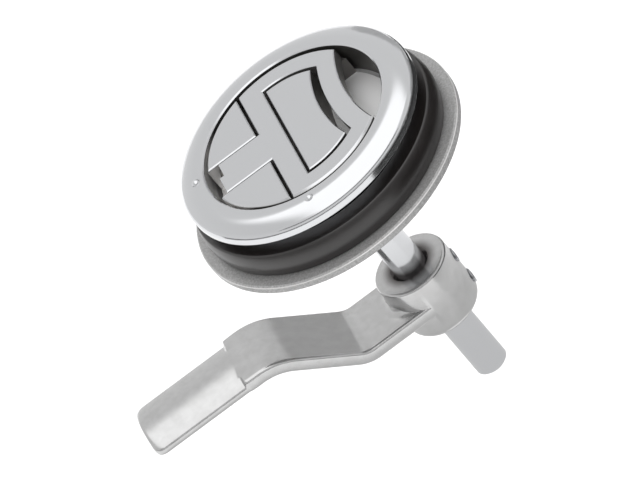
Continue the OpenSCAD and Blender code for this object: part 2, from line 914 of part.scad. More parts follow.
// Stations of the arm as [x, z, slope, half width, crown]: the bent part, then the crowned pad
function arm_stations(steps) = let (
    pad_x0 = arm_reach - pad_l,
    pad_half = arm_half - pad_step_l / 2
) concat(
    [for (s = arm_line(steps)) [s[0], s[1], s[2], arm_half, 0]],
    [[pad_x0, arm_high, 0, arm_half, 0]],
    [[pad_x0 + pad_step_l, arm_high, 0, pad_half, pad_crown]],
    [
        for (i = [0 : steps]) let (a = 90 * i / steps)
        [arm_reach - tip_r * (1 - sin(a)), arm_high, 0, pad_half - tip_r * (1 - cos(a)), pad_crown]
    ]
);

// Outline of the arm's section as [across, up]: a crowned top, and edges that leave it without a crease
function arm_section(half, crown, steps) = let (
    r = arm_edge_r,
    top = arm_t / 2,
    flat = half - r,
    lean = atan(2 * crown / half),
    turn = flat + r * sin(lean),
    drop = function(y) crown * y * y / (half * half),
    eye = top - drop(turn) - r * cos(lean),
    tilt = function(i) lean + (90 - lean) * 2 * i / steps
) concat(
    [for (i = [0 : steps]) let (y = turn * (1 - 2 * i / steps)) [y, top - drop(y)]],
    [for (i = [1 : steps / 2]) [-flat - r * sin(tilt(i)), eye + r * cos(tilt(i))]],
    [for (i = [0 : steps / 2]) let (a = 180 * i / steps) [-flat - r * cos(a), r * (1 - sin(a)) - top]],
    [for (i = [0 : steps / 2]) let (a = 180 * i / steps) [flat + r * sin(a), r * (1 - cos(a)) - top]],
    [for (i = [steps / 2 : -1 : 1]) [flat + r * sin(tilt(i)), eye + r * cos(tilt(i))]]
);

// How far the cast fillet lifts the arm's skin at a distance from the axis
function fillet_lift(r) = let (
    near = min(max(hub_r - fillet_bite + hub_fillet - r, 0), hub_fillet)
) hub_fillet - sqrt(hub_fillet * hub_fillet - near * near);

// Point of a section in space: the arm runs out along -X, and its skin curves up to the hub
function arm_point(s, p) = let (
    x = p[1] * sin(s[2]) - s[0],
    z = s[1] + p[1] * cos(s[2])
) [x, p[0], z + sign(p[1]) * fillet_lift(norm([x, p[0]]))];

module arm_loft() {
    steps = 8;
    stations = arm_stations(steps);
    last = len(stations) - 1;
    count = len(arm_section(arm_half, 0, steps));
    points = [
        for (s = stations, p = arm_section(s[3], s[4], steps)) arm_point(s, p)
    ];
    walls = [
        for (i = [0 : last - 1], k = [0 : count - 1], half = [0, 1]) let (
            n = (k + 1) % count,
            a = i * count,
            b = a + count
        ) half == 0 ? [a + k, b + n, b + k] : [a + k, a + n, b + n]
    ];
    ends = [
        [for (k = [count - 1 : -1 : 0]) k],
        [for (k = [0 : count - 1]) last * count + k]
    ];
    polyhedron(points = points, faces = concat(walls, ends));
}

// Hub with a rounded lower edge and a chamfered upper edge
module hub_body() {
    rotate_extrude()
    union() {
        square_between(0, hub_r - hub_round, hub_z, hub_top);
        square_between(0, hub_r, hub_z + hub_round, hub_top - hub_chamfer);
        polygon([
            [0, hub_top - hub_chamfer],
            [hub_r, hub_top - hub_chamfer],
            [hub_r - hub_chamfer, hub_top],
            [0, hub_top]
        ]);
        translate([hub_r - hub_round, hub_z + hub_round])
            circle(hub_round);
    }
}

// Heights of the two set screws
function set_screw_levels() = [set_screw_top, set_screw_top - set_screw_pitch];

module cam_arm() {
    color(cast_satin)
    difference() {
        union() {
            hub_body();
            arm_loft();
        }
        disc(bore_r, hub_z - cut, hub_top + cut);
        translate([0, 0, hub_top - bore_sink])
            cylinder(h = 2 * bore_sink, r1 = bore_r, r2 = bore_r + 2 * bore_sink);
        for (z = set_screw_levels())
            bar_x(set_screw_r + fixed_clearance, 0, hub_d, z);
    }
}

module set_screws() {
    end_x = hub_r + set_screw_proud;
    color(polished)
    for (z = set_screw_levels())
        difference() {
            bar_x(set_screw_r, set_screw_tip, end_x, z);
            translate([end_x - set_screw_r, 0, z])
                rotate([0, 90, 0])
                    cylinder(h = set_screw_d, r = set_screw_r * 0.55, $fn = 6);
        }
}

bezel_housing();
index_pins();
deck_gasket();
clamp_flange();
clamp_screws();
lock_washers();
shaft_bush();
shaft_seal();
thrust_washer();
stop_pin();
wave_washer();
rotor();
hinge_pin();
ring_spring();
drive_shaft();
cross_pin();
clip_washer();
retaining_ring();
pull_ring();
cam_arm();
set_screws();
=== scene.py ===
"""Dresses a flush pull ring latch: moulded, cast, wound and threaded forms, the finishes and the studio."""
import json
import math

import bmesh
import bpy
import numpy as np
from bpy.props import FloatProperty, FloatVectorProperty, IntProperty, PointerProperty
from mathutils import Matrix, Vector


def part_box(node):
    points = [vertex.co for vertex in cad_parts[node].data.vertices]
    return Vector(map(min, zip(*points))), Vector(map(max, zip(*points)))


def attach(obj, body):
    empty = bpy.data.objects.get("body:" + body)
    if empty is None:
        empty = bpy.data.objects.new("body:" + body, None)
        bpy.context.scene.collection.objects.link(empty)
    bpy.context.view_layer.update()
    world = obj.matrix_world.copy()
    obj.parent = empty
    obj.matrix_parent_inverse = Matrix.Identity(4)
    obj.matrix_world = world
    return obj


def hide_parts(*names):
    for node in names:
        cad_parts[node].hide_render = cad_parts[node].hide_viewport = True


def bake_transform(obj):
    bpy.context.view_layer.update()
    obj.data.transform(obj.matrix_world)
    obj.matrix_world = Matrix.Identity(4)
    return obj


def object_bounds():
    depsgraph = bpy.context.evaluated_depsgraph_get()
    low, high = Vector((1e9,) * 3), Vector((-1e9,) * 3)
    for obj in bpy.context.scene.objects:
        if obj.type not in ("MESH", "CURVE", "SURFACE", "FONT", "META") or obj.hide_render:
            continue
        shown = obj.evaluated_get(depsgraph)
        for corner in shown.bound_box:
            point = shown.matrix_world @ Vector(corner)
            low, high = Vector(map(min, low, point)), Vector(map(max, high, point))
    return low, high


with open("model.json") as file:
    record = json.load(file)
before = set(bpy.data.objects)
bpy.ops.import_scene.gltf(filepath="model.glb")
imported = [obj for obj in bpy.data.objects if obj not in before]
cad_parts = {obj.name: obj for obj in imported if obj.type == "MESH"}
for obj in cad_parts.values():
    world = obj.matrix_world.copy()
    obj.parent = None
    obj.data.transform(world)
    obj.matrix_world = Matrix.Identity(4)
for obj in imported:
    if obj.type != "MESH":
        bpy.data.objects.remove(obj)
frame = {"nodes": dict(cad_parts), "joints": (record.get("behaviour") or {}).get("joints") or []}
cad_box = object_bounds()

bl_info = {
    "name": "Flush pull ring latch",
    "version": (1, 0, 0),
    "blender": (4, 5, 0),
    "location": "3D View > Sidebar > Latch",
    "description": "Builds the soft, cast, wound and threaded pieces of a flush latch and its finishes",
    "category": "Object",
}

MM = 0.001
TURN = 2 * math.pi
IMAGE_W = 640
IMAGE_H = 480
SENSOR_W = 36
CLIP_START, CLIP_END = 0.01, 100  # metres from the camera
SMOOTH_TO = 32  # degrees between faces up to which a piece is shaded smooth
BEVEL_SAMPLES = 4
CARD_POINTS = 40  # points along a studio card
PAPER_LIFT = 0.3  # the floor's own white, for what sees it
SKY_LOW, SKY_HIGH = 0.86, 0.72  # level of the even light at the horizon and overhead
# The softbox overhead: what it adds, and the x and z of directions over which it fades in.
SOFTBOX_LEVEL = 0.72
SOFTBOX_LEFT, SOFTBOX_FOOT = (-0.42, -0.22), (0.66, 0.76)
# Studio cards: name, tone, bearings from and to in degrees, and two edges as distance and height in metres.
# A height of None lies on the floor.
CARDS = (
    ("low_flag", "flag", (-195, 45), ((1.1, -0.22), (1.1, 0.08))),
    ("camera_flag", "flag", (-150, -15), ((1.1, 0.62), (1.1, 1))),
    ("grey_card", "card", (15, 80), ((1.15, -0.1), (1.15, 0.4))),
    ("near_card", "near", (-190, 170), ((0.05, None), (0.258, None))),
    ("far_card", "shade", (-60, 70), ((0.31, None), (1.6, None))),
)


def linear(hex_colour):
    """sRGB hex colour as linear RGBA, by the sRGB curve."""
    channels = [int(hex_colour[i:i + 2], 16) / 255 for i in (1, 3, 5)]
    return tuple(c / 12.92 if c <= 0.04045 else ((c + 0.055) / 1.055) ** 2.4 for c in channels) + (1.0,)


def length(name, description, millimetres):
    """Property that holds a length, given here in millimetres."""
    return FloatProperty(
        name=name, description=description, default=millimetres * MM, unit="LENGTH", subtype="DISTANCE",
        precision=5
    )


def angle(name, description, degrees):
    """Property that holds an angle, given here in degrees."""
    return FloatProperty(
        name=name, description=description, default=math.radians(degrees), unit="ROTATION", subtype="ANGLE"
    )


def colour(name, description, hex_colour):
    """Property that holds a colour, given here as an sRGB hex value."""
    return FloatVectorProperty(
        name=name, description=description, default=linear(hex_colour), size=4, min=0, max=1, subtype="COLOR"
    )


def node_points(name):
    """Vertices of a CAD node as an array of rows x, y, z in metres."""
    mesh = frame["nodes"][name].data
    points = np.empty(len(mesh.vertices) * 3)
    mesh.vertices.foreach_get("co", points)
    return points.reshape(-1, 3)


def node_radii(name):
    """Least and greatest distance of a node's vertices from the latch's axis."""
    distance = np.hypot(*node_points(name)[:, :2].T)
    return distance.min(), distance.max()


def joint(name):
    """Record of a joint by its name."""
    return next(j for j in frame["joints"] if j["name"] == name)


class GasketSizes(bpy.types.PropertyGroup):
    """Sizes of the rubber seals"""

    edge: length("Edge radius", "Radius of the moulded edges of the deck gasket", 0.45)
    bulge: length("Side bulge", "How far the squeezed side swells at mid height", 0.9)
    flash: length("Flash", "Height of the parting line round the shaft's seal", 0.05)


class ArmSizes(bpy.types.PropertyGroup):
    """Sizes of the cam arm's casting"""

    hub_h: length("Hub height", "Height of the hub along the shaft", 20.8)
    hub_drop: length("Hub drop", "Distance of the hub's top face below the deck seat", 58.2)
    hub_round: length("Hub round", "Radius of the hub's lower edge", 3.4)
    hub_edge: length("Hub edge", "Radius of the hub's upper edge", 0.9)
    bore: length("Bore", "Diameter of the hole for the shaft", 10.1)
    sink: length("Countersink", "Countersink round the upper end of the bore", 1.1)
    width: length("Arm width", "Width of the arm across its flat", 22.8)
    thickness: length("Arm thickness", "Thickness of the arm", 4.3)
    step: length("Arm step", "Depth of the arm's top below the hub's top", 8)
    rise: length("Rise", "Height that the crank gains", 17.2)
    slope: angle("Slope", "Angle of the cranked stretch", 38.5)
    bend_x: length("Bend distance", "Distance of the first bend from the axis", 24.5)
    bend_r: length("Bend radius", "Inner radius of the lower bend", 6)
    crest_r: length("Crest radius", "Inner radius of the upper bend", 14)
    fillet: length("Hub fillet", "Radius of the cast fillet between arm and hub", 4)
    fade: length("Fillet fade", "Distance from the long edges over which the fillet fades", 9)
    bite: length("Fillet bite", "How far inside the hub's side the fillet ends", 0.5)
    pad_l: length("Pad length", "Length of the crowned pad at the tip", 32.5)
    crown: length("Crown", "Drop of the pad's top from its middle to its sides", 1.8)
    edge: length("Edge radius", "Radius of the arm's long edges", 1)
    tip_r: length("Tip radius", "Radius of the tip's corners in plan", 3.2)
    ramp: length("Pad ramp", "Length over which the pad's crown begins", 0.9)
    lead: length("Bore lead", "Lead-in at the lower end of the bore", 0.3)


class ScrewSizes(bpy.types.PropertyGroup):
    """Sizes of the threaded fasteners"""

    set_pitch: length("Set screw pitch", "Thread pitch of the set screws", 0.8)
    clamp_pitch: length("Clamp screw pitch", "Thread pitch of the clamp screws", 0.7)
    clamp_circle: length("Clamp circle", "Diameter of the circle that the clamp screws stand on", 44)
    clamp_d: length("Clamp screw", "Diameter of the clamp screws", 4)
    clamp_head: length("Clamp head", "Height of the clamp screws' heads", 2.48)
    head_edge: length("Head edge", "Chamfer at the outer end of the clamp screws' heads", 0.35)
    seat_edge: length("Seat edge", "Chamfer at the seat of the clamp screws' heads", 0.3)
    knurl: length("Knurl", "Depth of the knurls", 0.12)
    tip: length("Tip", "Chamfer at the set screws' tips", 0.5)
    rim: length("Rim", "Chamfer round the set screws' sockets", 0.25)
    knurls: IntProperty(name="Knurls", description="Ridges round a clamp screw's head", default=28)


class SpringSizes(bpy.types.PropertyGroup):
    """Sizes of the wound and pressed springs"""

    wire: length("Wire", "Diameter of the return spring's wire", 0.9)
    coils: FloatProperty(name="Coils", description="Turns of the return spring", default=4.5)
    leg: length("Leg", "Length of the return spring's legs", 7)
    strip: length("Strip", "Thickness of the wave washer's strip", 0.4)
    strip_edge: length("Strip edge", "Radius of the strip's edges", 0.08)
    waves: IntProperty(name="Waves", description="Waves in one turn of the wave washer", default=3)


class FinishColours(bpy.types.PropertyGroup):
    """Colours of the finishes"""

    polished: colour("Polished steel", "Buffed stainless steel", "#D7D8DA")
    # For the bezel and the rotor this skin is also painted shade: dark enough to darken their slots, walls
    # and recess.
    skin: colour("Cast skin", "Dull casting skin where no wheel reaches", "#7A7876")
    ring_back: colour("Ring back", "Satin skin of the ring's sides and back", "#B0AFAE")
    # Near white as painted light on the finger recess's floor, which lies in shade; the floor is blasted.
    blasted: colour("Blasted steel", "Pale floor of the finger recess", "#F4F4F4")
    cast: colour("Cast steel", "Tumbled cast stainless steel", "#CACACA")
    cast_dark: colour("Cast grain", "Grain of the cast steel", "#A9A8A7")
    flange: colour("Flange", "Cast stainless steel as blasted", "#BEBEBE")
    flange_dark: colour("Flange grain", "Grain of the blasted steel", "#939291")
    # Painted shade on the cam's hub round its bore, which the shaft mirrors as a dark collar.
    painted_bore_shade: colour("Grease", "Steel darkened by grease round the cam's bore", "#5C5857")
    # Painted highlight: lightens the hinge end of the slot, which lies in shade, and paints the flange's
    # bright edge line.
    painted_highlight: colour("Rubbed steel", "Steel rubbed bright at the hinge and on the flange's edge", "#F0EFEE")
    bright: colour("Bright steel", "Turned steel of pins and washers", "#B9BABD")
    wire: colour("Spring steel", "Hard drawn spring wire", "#8F8D89")
    rubber: colour("Rubber", "Moulded black rubber", "#120E0D")
    rubber_bloom: colour("Rubber bloom", "Pale bloom on the rubber", "#1E1918")
    bronze: colour("Bronze", "Sintered bearing bronze", "#B08A55")
    bronze_pore: colour("Bronze pores", "Oil-filled pores of the bronze", "#6E5330")
    nylon: colour("Nylon", "Natural nylon", "#E8E2D2")
    paper: colour("Paper", "Floor and backdrop", "#F2F2F2")
    flag: colour("Flag", "Grey flags that give rounded edges their soft dark line", "#969696")
    card: colour("Card", "Grey card behind the latch", "#C4C4C4")
    near: colour("Near card", "Grey card on the floor under the latch", "#D8D8D8")
    shade: colour("Shade", "Dark card on the floor to the right of the latch", "#3C3C3C")


class StudioSettings(bpy.types.PropertyGroup):
    """Camera and studio"""

    azimuth: angle("Azimuth", "Turn of the camera round the latch's axis", 6.86)
    elevation: angle("Elevation", "Height of the camera above the deck's plane", 36.67)
    roll: angle("Roll", "Turn of the camera round its own axis", 40.65)
    distance: length("Distance", "Distance of the camera from the aimed point", 3342)
    focal_px: FloatProperty(name="Focal length", description="Focal length in pixels", default=12000)
    aim_z: length("Aim height", "Height of the aimed point on the axis", 1)
    aim_px_x: FloatProperty(name="Aim across", description="Pixel column of the aimed point", default=298.8)
    aim_px_y: FloatProperty(name="Aim down", description="Pixel row of the aimed point", default=134.9)
    floor_drop: length("Floor drop", "Distance of the floor below the shaft's end", 140)
    floor_w: length("Floor width", "Width of the floor", 12000)


def grid_faces(rows, columns, wrap_rows=True, wrap_columns=True):
    """Quads of a grid of points counted row by row, joined end to start where it wraps."""
    i, j = np.meshgrid(
        np.arange(rows - (not wrap_rows)), np.arange(columns - (not wrap_columns)), indexing="ij")
    i_next, j_next = (i + 1) % rows, (j + 1) % columns
    quads = (i * columns + j, i_next * columns + j, i_next * columns + j_next, i * columns + j_next)
    return np.stack(quads, axis=-1).reshape(-1, 4).tolist()


def rounded_outline(corners, arc_points=7):
    """Closed outline with arcs for corners: each touches its sides radius / tan(half angle) from the corner.

    A corner is a row (x, z, radius), and a radius of 0 keeps it sharp.
    """
    places = np.array([corner[:2] for corner in corners])
    radii = [corner[2] for corner in corners]
    arcs = []
    for here, before, after, radius in zip(places, np.roll(places, 1, 0), np.roll(places, -1, 0), radii):
        if radius == 0:
            arcs.append(here[None])
            continue
        back = (before - here) / np.linalg.norm(before - here)
        on = (after - here) / np.linalg.norm(after - here)
        half = math.acos(np.clip(back @ on, -1, 1)) / 2
        centre = here + (back + on) / np.linalg.norm(back + on) * radius / math.sin(half)
        start = here + back * radius / math.tan(half) - centre
        end = here + on * radius / math.tan(half) - centre
        first = math.atan2(start[1], start[0])
        swing = (math.atan2(end[1], end[0]) - first + math.pi) % TURN - math.pi
        t = first + swing * np.linspace(0, 1, arc_points)
        arcs.append(centre + radius * np.stack((np.cos(t), np.sin(t)), axis=1))
    return np.concatenate(arcs)


def revolve(outline, segments):
    """Grid of a surface of revolution: outline point (r, z) at angle t stands at (r cos t, r sin t, z)."""
    t = np.linspace(0, TURN, segments, endpoint=False)[:, None]
    r, z = outline[:, 0][None], outline[:, 1][None]
    return np.stack((r * np.cos(t), r * np.sin(t), z + 0 * t), axis=-1)


def shell_of(grid):
    """Points and faces of a grid that closes on itself both ways."""
    return grid.reshape(-1, 3), grid_faces(*grid.shape[:2])


def turned(radii, heights):
    """Closed shell of rings about Z: ring k has the radius radii[k] of each angle and the height heights[k].

    The first and last rings close on a middle point each.
    """
    rows, columns = radii.shape
    t = np.linspace(0, TURN, columns, endpoint=False)[None]
    z = np.broadcast_to(heights[:, None], radii.shape)
    rings = np.stack((radii * np.cos(t), radii * np.sin(t), z), axis=-1).reshape(-1, 3)
    points = np.concatenate((rings, [[0, 0, heights[0]], [0, 0, heights[-1]]]))
    k = np.arange(columns)
    k_next = (k + 1) % columns
    first_fan = np.stack((k_next, k, 0 * k + rows * columns), axis=1).tolist()
    last_row = (rows - 1) * columns
    last_fan = np.stack((last_row + k, last_row + k_next, 0 * k + rows * columns + 1), axis=1).tolist()
    return points, grid_faces(rows, columns, wrap_rows=False) + first_fan + last_fan


def lathe(outline, columns):
    """Closed solid of revolution: outline point (r, z) makes a ring of radius r at height z."""
    return turned(np.repeat(outline[:, :1], columns, axis=1), outline[:, 1])


def tube(path, radius, sides, across):
    """Closed round wire along a path: its circles stand square to the path, turned from the vector across."""
    direction = np.gradient(path, axis=0)
    direction /= np.linalg.norm(direction, axis=1, keepdims=True)
    side = np.cross(direction, across)
    side /= np.linalg.norm(side, axis=1, keepdims=True)
    up = np.cross(side, direction)
    t = np.linspace(0, TURN, sides, endpoint=False)[None, :, None]
    points = path[:, None] + radius * (np.cos(t) * side[:, None] + np.sin(t) * up[:, None])
    rows = len(path)
    caps = [list(range(sides)), list(range((rows - 1) * sides, rows * sides))]
    return points.reshape(-1, 3), grid_faces(rows, sides, wrap_rows=False) + caps


def hexagon(apothem, columns):
    """Radius of a hexagon at a ring's angles: apothem / cos(angle from the middle of the flat)."""
    t = np.linspace(0, TURN, columns, endpoint=False)
    return apothem / np.cos((t + TURN / 12) % (TURN / 6) - TURN / 12)


def threaded(radius, pitch, depth, start, end, columns, rows_per_turn=8):
    """Rings of a thread: the radius falls by depth on a triangular wave of height / pitch - angle / turn."""
    heights = np.linspace(start, end, int(abs(end - start) / pitch * rows_per_turn) + 2)
    t = np.linspace(0, 1, columns, endpoint=False)[None]
    phase = (heights[:, None] / pitch - t) % 1
    return radius - depth * np.abs(2 * phase - 1), heights


def socket_rings(apothem, rim, face, depth, columns):
    """Rings of an end face with a hexagonal socket, from the face's rim to the socket's drilled floor."""
    lead, drill_r, drill_end = 0.06, 0.5, 1.1
    ring, hex_ring = np.full(columns, rim), hexagon(apothem, columns)
    radii = np.stack((ring, hex_ring * (1 + lead), hex_ring, hex_ring, hex_ring * drill_r))
    sunk = lead * apothem * np.sign(depth)
    return radii, np.array((face, face, face - sunk, face - depth, face - depth * drill_end))


def face_outwards(mesh):
    """Turns the faces of a mesh's closed shells outwards."""
    shape = bmesh.new()
    shape.from_mesh(mesh)
    bmesh.ops.recalc_face_normals(shape, faces=shape.faces)
    shape.to_mesh(mesh)
    shape.free()


def add_piece(name, shells, material, body, replaced, sharp=SMOOTH_TO, body_blend=None):
    """Makes one mesh object of closed shells that rides on a body, unless body_blend is given, and stands for
    a CAD node.
    """
    points, faces, count = [], [], 0
    for shell_points, shell_faces in shells:
        points.append(shell_points)
        faces += [[count + v for v in face] for face in shell_faces]
        count += len(shell_points)
    mesh = bpy.data.meshes.new(name)
    mesh.from_pydata(np.concatenate(points).tolist(), [], faces)
    return finish_piece(name, mesh, material, body, replaced, sharp, body_blend)


def finish_piece(name, mesh, material, body, replaced, sharp=SMOOTH_TO, body_blend=None):
    """Turns the mesh's faces outwards, shades it smooth up to an angle and hangs it on the frame."""
    face_outwards(mesh)
    if mesh.validate():
        raise RuntimeError(f"{name} has broken faces")
    mesh.shade_smooth()
    mesh.set_sharp_from_angle(angle=math.radians(sharp))
    mesh.materials.append(material)
    piece = bpy.data.objects.new(name, mesh)
    bpy.context.scene.collection.objects.link(piece)
    if body_blend:
        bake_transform(piece)
    else:
        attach(piece, body)
    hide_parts(replaced)
    return piece


def add_node(tree, kind, inputs=None, **settings):
    """Adds a node with its settings and fills its inputs with values or other nodes' outputs."""
    node = tree.nodes.new(kind)
    for name, value in settings.items():
        setattr(node, name, value)
    for key, value in (inputs or {}).items():
        if isinstance(value, bpy.types.NodeSocket):
            tree.links.new(value, node.inputs[key])
        else:
            node.inputs[key].default_value = value
    return node


def math_node(tree, operation, *values):
    """Result of one sum on values or other nodes' outputs."""
    return add_node(tree, "ShaderNodeMath", dict(enumerate(values)), operation=operation).outputs[0]


def noise(tree, coordinates, grain_mm, detail, **more):
    """Noise whose grain has a given size in millimetres."""
    return add_node(tree, "ShaderNodeTexNoise", {
        "Vector": coordinates, "Scale": 1 / (grain_mm * MM), "Detail": detail, **more}).outputs["Fac"]


def ramp(tree, value, before=(0.0, 1.0), after=(0.0, 1.0), kind="LINEAR"):
    """Value taken from one range to another, and held at its ends."""
    return add_node(tree, "ShaderNodeMapRange", {
        "Value": value, "From Min": before[0], "From Max": before[1], "To Min": after[0], "To Max": after[1]},
        interpolation_type=kind).outputs[0]


def between(tree, factor, first, second):
    """Colour that goes from the first to the second as the factor goes from 0 to 1."""
    mix = add_node(tree, "ShaderNodeMix", {"Factor": factor, "A": first, "B": second}, data_type="RGBA")
    return mix.outputs["Result"]


def eased_edges(tree, radius_mm):
    """Normal that rounds sharp edges to a small radius."""
    return add_node(tree, "ShaderNodeBevel", {"Radius": radius_mm * MM}, samples=BEVEL_SAMPLES).outputs[0]


def bumps(tree, height, strength, depth_mm, **more):
    """Normal roughened by a height, up to a depth in millimetres."""
    return add_node(tree, "ShaderNodeBump", {
        "Height": height, "Strength": strength, "Distance": depth_mm * MM, **more}).outputs[0]


def principled(tree, colour_in, roughness, **more):
    """Principled shader with its colour, its roughness and any other sockets by name."""
    return add_node(tree, "ShaderNodeBsdfPrincipled", {
        "Base Color": colour_in, "Roughness": roughness, **more})


def start_material(name):
    """Empty node material with its coordinates: returns the material, its tree and the Object coordinates."""
    material = bpy.data.materials.new(name)
    material.use_nodes = True
    material.node_tree.nodes.clear()
    coordinates = add_node(material.node_tree, "ShaderNodeTexCoord").outputs["Object"]
    return material, material.node_tree, coordinates


def end_material(material, tree, shader):
    """Links the finished shader to the material's output."""
    add_node(tree, "ShaderNodeOutputMaterial", {"Surface": shader.outputs[0]})
    return material


def finish_colours():
    """The colours that the finishes are made from."""
    return bpy.context.scene.latch_colours


def axis_distance(tree, coordinates):
    """Distance of a surface point from the latch's axis."""
    flat = add_node(tree, "ShaderNodeVectorMath", {0: coordinates, 1: (1, 1, 0)}, operation="MULTIPLY")
    return add_node(tree, "ShaderNodeVectorMath", {0: flat.outputs[0]}, operation="LENGTH").outputs["Value"]


def polished_stainless(name="polished_stainless_steel", skin=None):
    """Buffed stainless steel, for the shaft and the index pins; a skin stays where the wheel can't reach,
    with painted light and shade.
    """
    # A buffing wheel leaves a clear but slightly soft mirror. It can't reach into a slot, so walls and
    # channels keep the dull skin of the casting, darkened further as painted shade for the bezel and the
    # rotor.
    # The finger recess's floor is blasted, and its near white is painted light, for it lies in shade.
    # The hinge end of the slot is lightened as a painted highlight.
    material, tree, coordinates = start_material(name)
    streak_mm, streak_stretch, eased_mm, streak_depth_mm = 0.35, 0.12, 0.12, 0.02
    painted_highlight_x, face_z, rim_r, floor_z = (
        np.array(ends) * MM for ends in ((-23, -20), (4.1, 4.3), (29.1, 29.3), (-5.9, -6.1)))
    stretched = add_node(tree, "ShaderNodeMapping", {"Vector": coordinates, "Scale": (1, streak_stretch, 1)})
    streaks = noise(tree, stretched.outputs[0], streak_mm, 3.0)
    normal = bumps(tree, streaks, 0.03, streak_depth_mm, Normal=eased_edges(tree, eased_mm))
    shader = principled(
        tree, finish_colours().polished, ramp(tree, streaks, after=(0.11, 0.17)), Metallic=1.0, Normal=normal)
    if skin:
        places = add_node(tree, "ShaderNodeSeparateXYZ", {0: coordinates}).outputs
        # Painted highlight: the hinge end of the slot is lightened, though it lies in shade.
        painted_highlight = ramp(tree, places["X"], painted_highlight_x, (1.0, 0.0))
        dull = principled(tree, between(tree, painted_highlight, skin, finish_colours().painted_highlight), 0.5, Metallic=1.0)
        # Painted light: the recess floor's near white base stands in for light that its shade keeps out.
        blasted = principled(tree, finish_colours().blasted, 0.6, Metallic=0.3)
        on_face = ramp(tree, places["Z"], face_z)
        on_rim = ramp(tree, axis_distance(tree, coordinates), rim_r)
        buffed = math_node(tree, "MAXIMUM", on_face, on_rim)
        sides = add_node(tree, "ShaderNodeMixShader", {0: buffed, 1: dull.outputs[0], 2: shader.outputs[0]})
        shader = add_node(tree, "ShaderNodeMixShader", {
            0: ramp(tree, places["Z"], floor_z), 1: sides.outputs[0], 2: blasted.outputs[0]})
    return end_material(material, tree, shader)


def faced_stainless():
    """Stainless steel that is buffed on its open faces and dull in its slots, darkened there as painted
    shade, for the bezel and the rotor.
    """
    return polished_stainless("polished_stainless_steel_with_painted_slot_shade", finish_colours().skin)


def tumbled_back_stainless():
    """Stainless steel that is buffed on its face and tumbled to satin on its sides and back, for the ring."""
    return polished_stainless("polished_stainless_steel_satin_back", finish_colours().ring_back)


def tumbled_cast_stainless():
    """Investment-cast stainless steel after tumbling, for the cam arm."""
    # Tumbling leaves a satin skin: soft reflections with a faint cloudy grain. The hub is darkened round its
    # bore as painted shade, which the polished shaft mirrors as a dark collar.
    material, tree, coordinates = start_material("tumbled_cast_stainless_steel")
    cloud_mm, grain_mm, grain_depth_mm, eased_mm = 3.0, 0.3, 0.03, 0.2
    bore_shade_r = np.array((5.6, 9.6)) * MM
    colours = finish_colours()
    grain = noise(tree, coordinates, grain_mm, 4.0)
    cloudy = ramp(tree, noise(tree, coordinates, cloud_mm, 2.0), (0.3, 0.7), (0.0, 0.25))
    # Painted shade: the hub darkens towards its bore.
    bore_shaded = ramp(tree, axis_distance(tree, coordinates), bore_shade_r, (1.0, 0.0), "SMOOTHSTEP")
    base = between(tree, bore_shaded, between(tree, cloudy, colours.cast, colours.cast_dark), colours.painted_bore_shade)
    normal = bumps(tree, grain, 0.03, grain_depth_mm, Normal=eased_edges(tree, eased_mm))
    shader = principled(tree, base, ramp(tree, grain, after=(0.17, 0.25)), Metallic=1.0, Normal=normal)
    return end_material(material, tree, shader)


def blasted_cast_stainless():
    """Cast stainless steel left as blasted, for the clamp flange."""
    # Blasting leaves a matt, peppery grain that reads as speckle at arm's length and scatters light as paint
    # does. Handling rubs the outer edge glossier, and it is painted near white as a painted highlight, so
    # that it shows as a thin bright line.
    material, tree, coordinates = start_material("blasted_cast_stainless_steel")
    grain_mm, speck_mm, grain_depth_mm, pit_depth_mm, eased_mm = 0.6, 0.9, 0.08, 0.1, 0.2
    edge_above_mm, edge_w_mm, nearly_mm = 0.04, 0.2, 0.01
    colours = finish_colours()
    grain = noise(tree, coordinates, grain_mm, 5.0, Roughness=0.7)
    specks = add_node(tree, "ShaderNodeTexVoronoi", {"Vector": coordinates, "Scale": 1 / (speck_mm * MM)})
    speckle = ramp(tree, grain, (0.35, 0.65), (0.0, 0.9))
    points = node_points("clamp_flange")
    on_rim = np.hypot(*points[:, :2].T) > node_radii("clamp_flange")[1] - nearly_mm * MM
    edge_z = points[on_rim, 2].max() + edge_above_mm * MM
    height = add_node(tree, "ShaderNodeSeparateXYZ", {0: coordinates}).outputs["Z"]
    off_edge = math_node(tree, "ABSOLUTE", math_node(tree, "SUBTRACT", height, edge_z))
    # Painted highlight: a thin band at the flange's outer edge is painted near white, and made glossier.
    painted_highlight = ramp(tree, off_edge, (0.0, edge_w_mm * MM), (1.0, 0.0), "SMOOTHSTEP")
    base = between(tree, painted_highlight, between(tree, speckle, colours.flange, colours.flange_dark), colours.painted_highlight)
    pits = bumps(tree, specks.outputs["Distance"], 0.1, pit_depth_mm, Normal=eased_edges(tree, eased_mm))
    normal = bumps(tree, grain, 0.25, grain_depth_mm, Normal=pits)
    shader = principled(tree, base, ramp(tree, painted_highlight, after=(0.42, 0.2)), Metallic=0.35, Normal=normal)
    return end_material(material, tree, shader)


def bright_turned_steel():
    """Bright turned steel, for pins, washers and screws."""
    # Turning leaves fine rings that spread the highlight a little.
    material, tree, coordinates = start_material("bright_turned_steel")
    line_mm, line_depth_mm = 0.2, 0.02
    lines = noise(tree, coordinates, line_mm, 3.0)
    shader = principled(
        tree, finish_colours().bright, ramp(tree, lines, after=(0.24, 0.38)), Metallic=1.0,
        Normal=bumps(tree, lines, 0.08, line_depth_mm))
    return end_material(material, tree, shader)


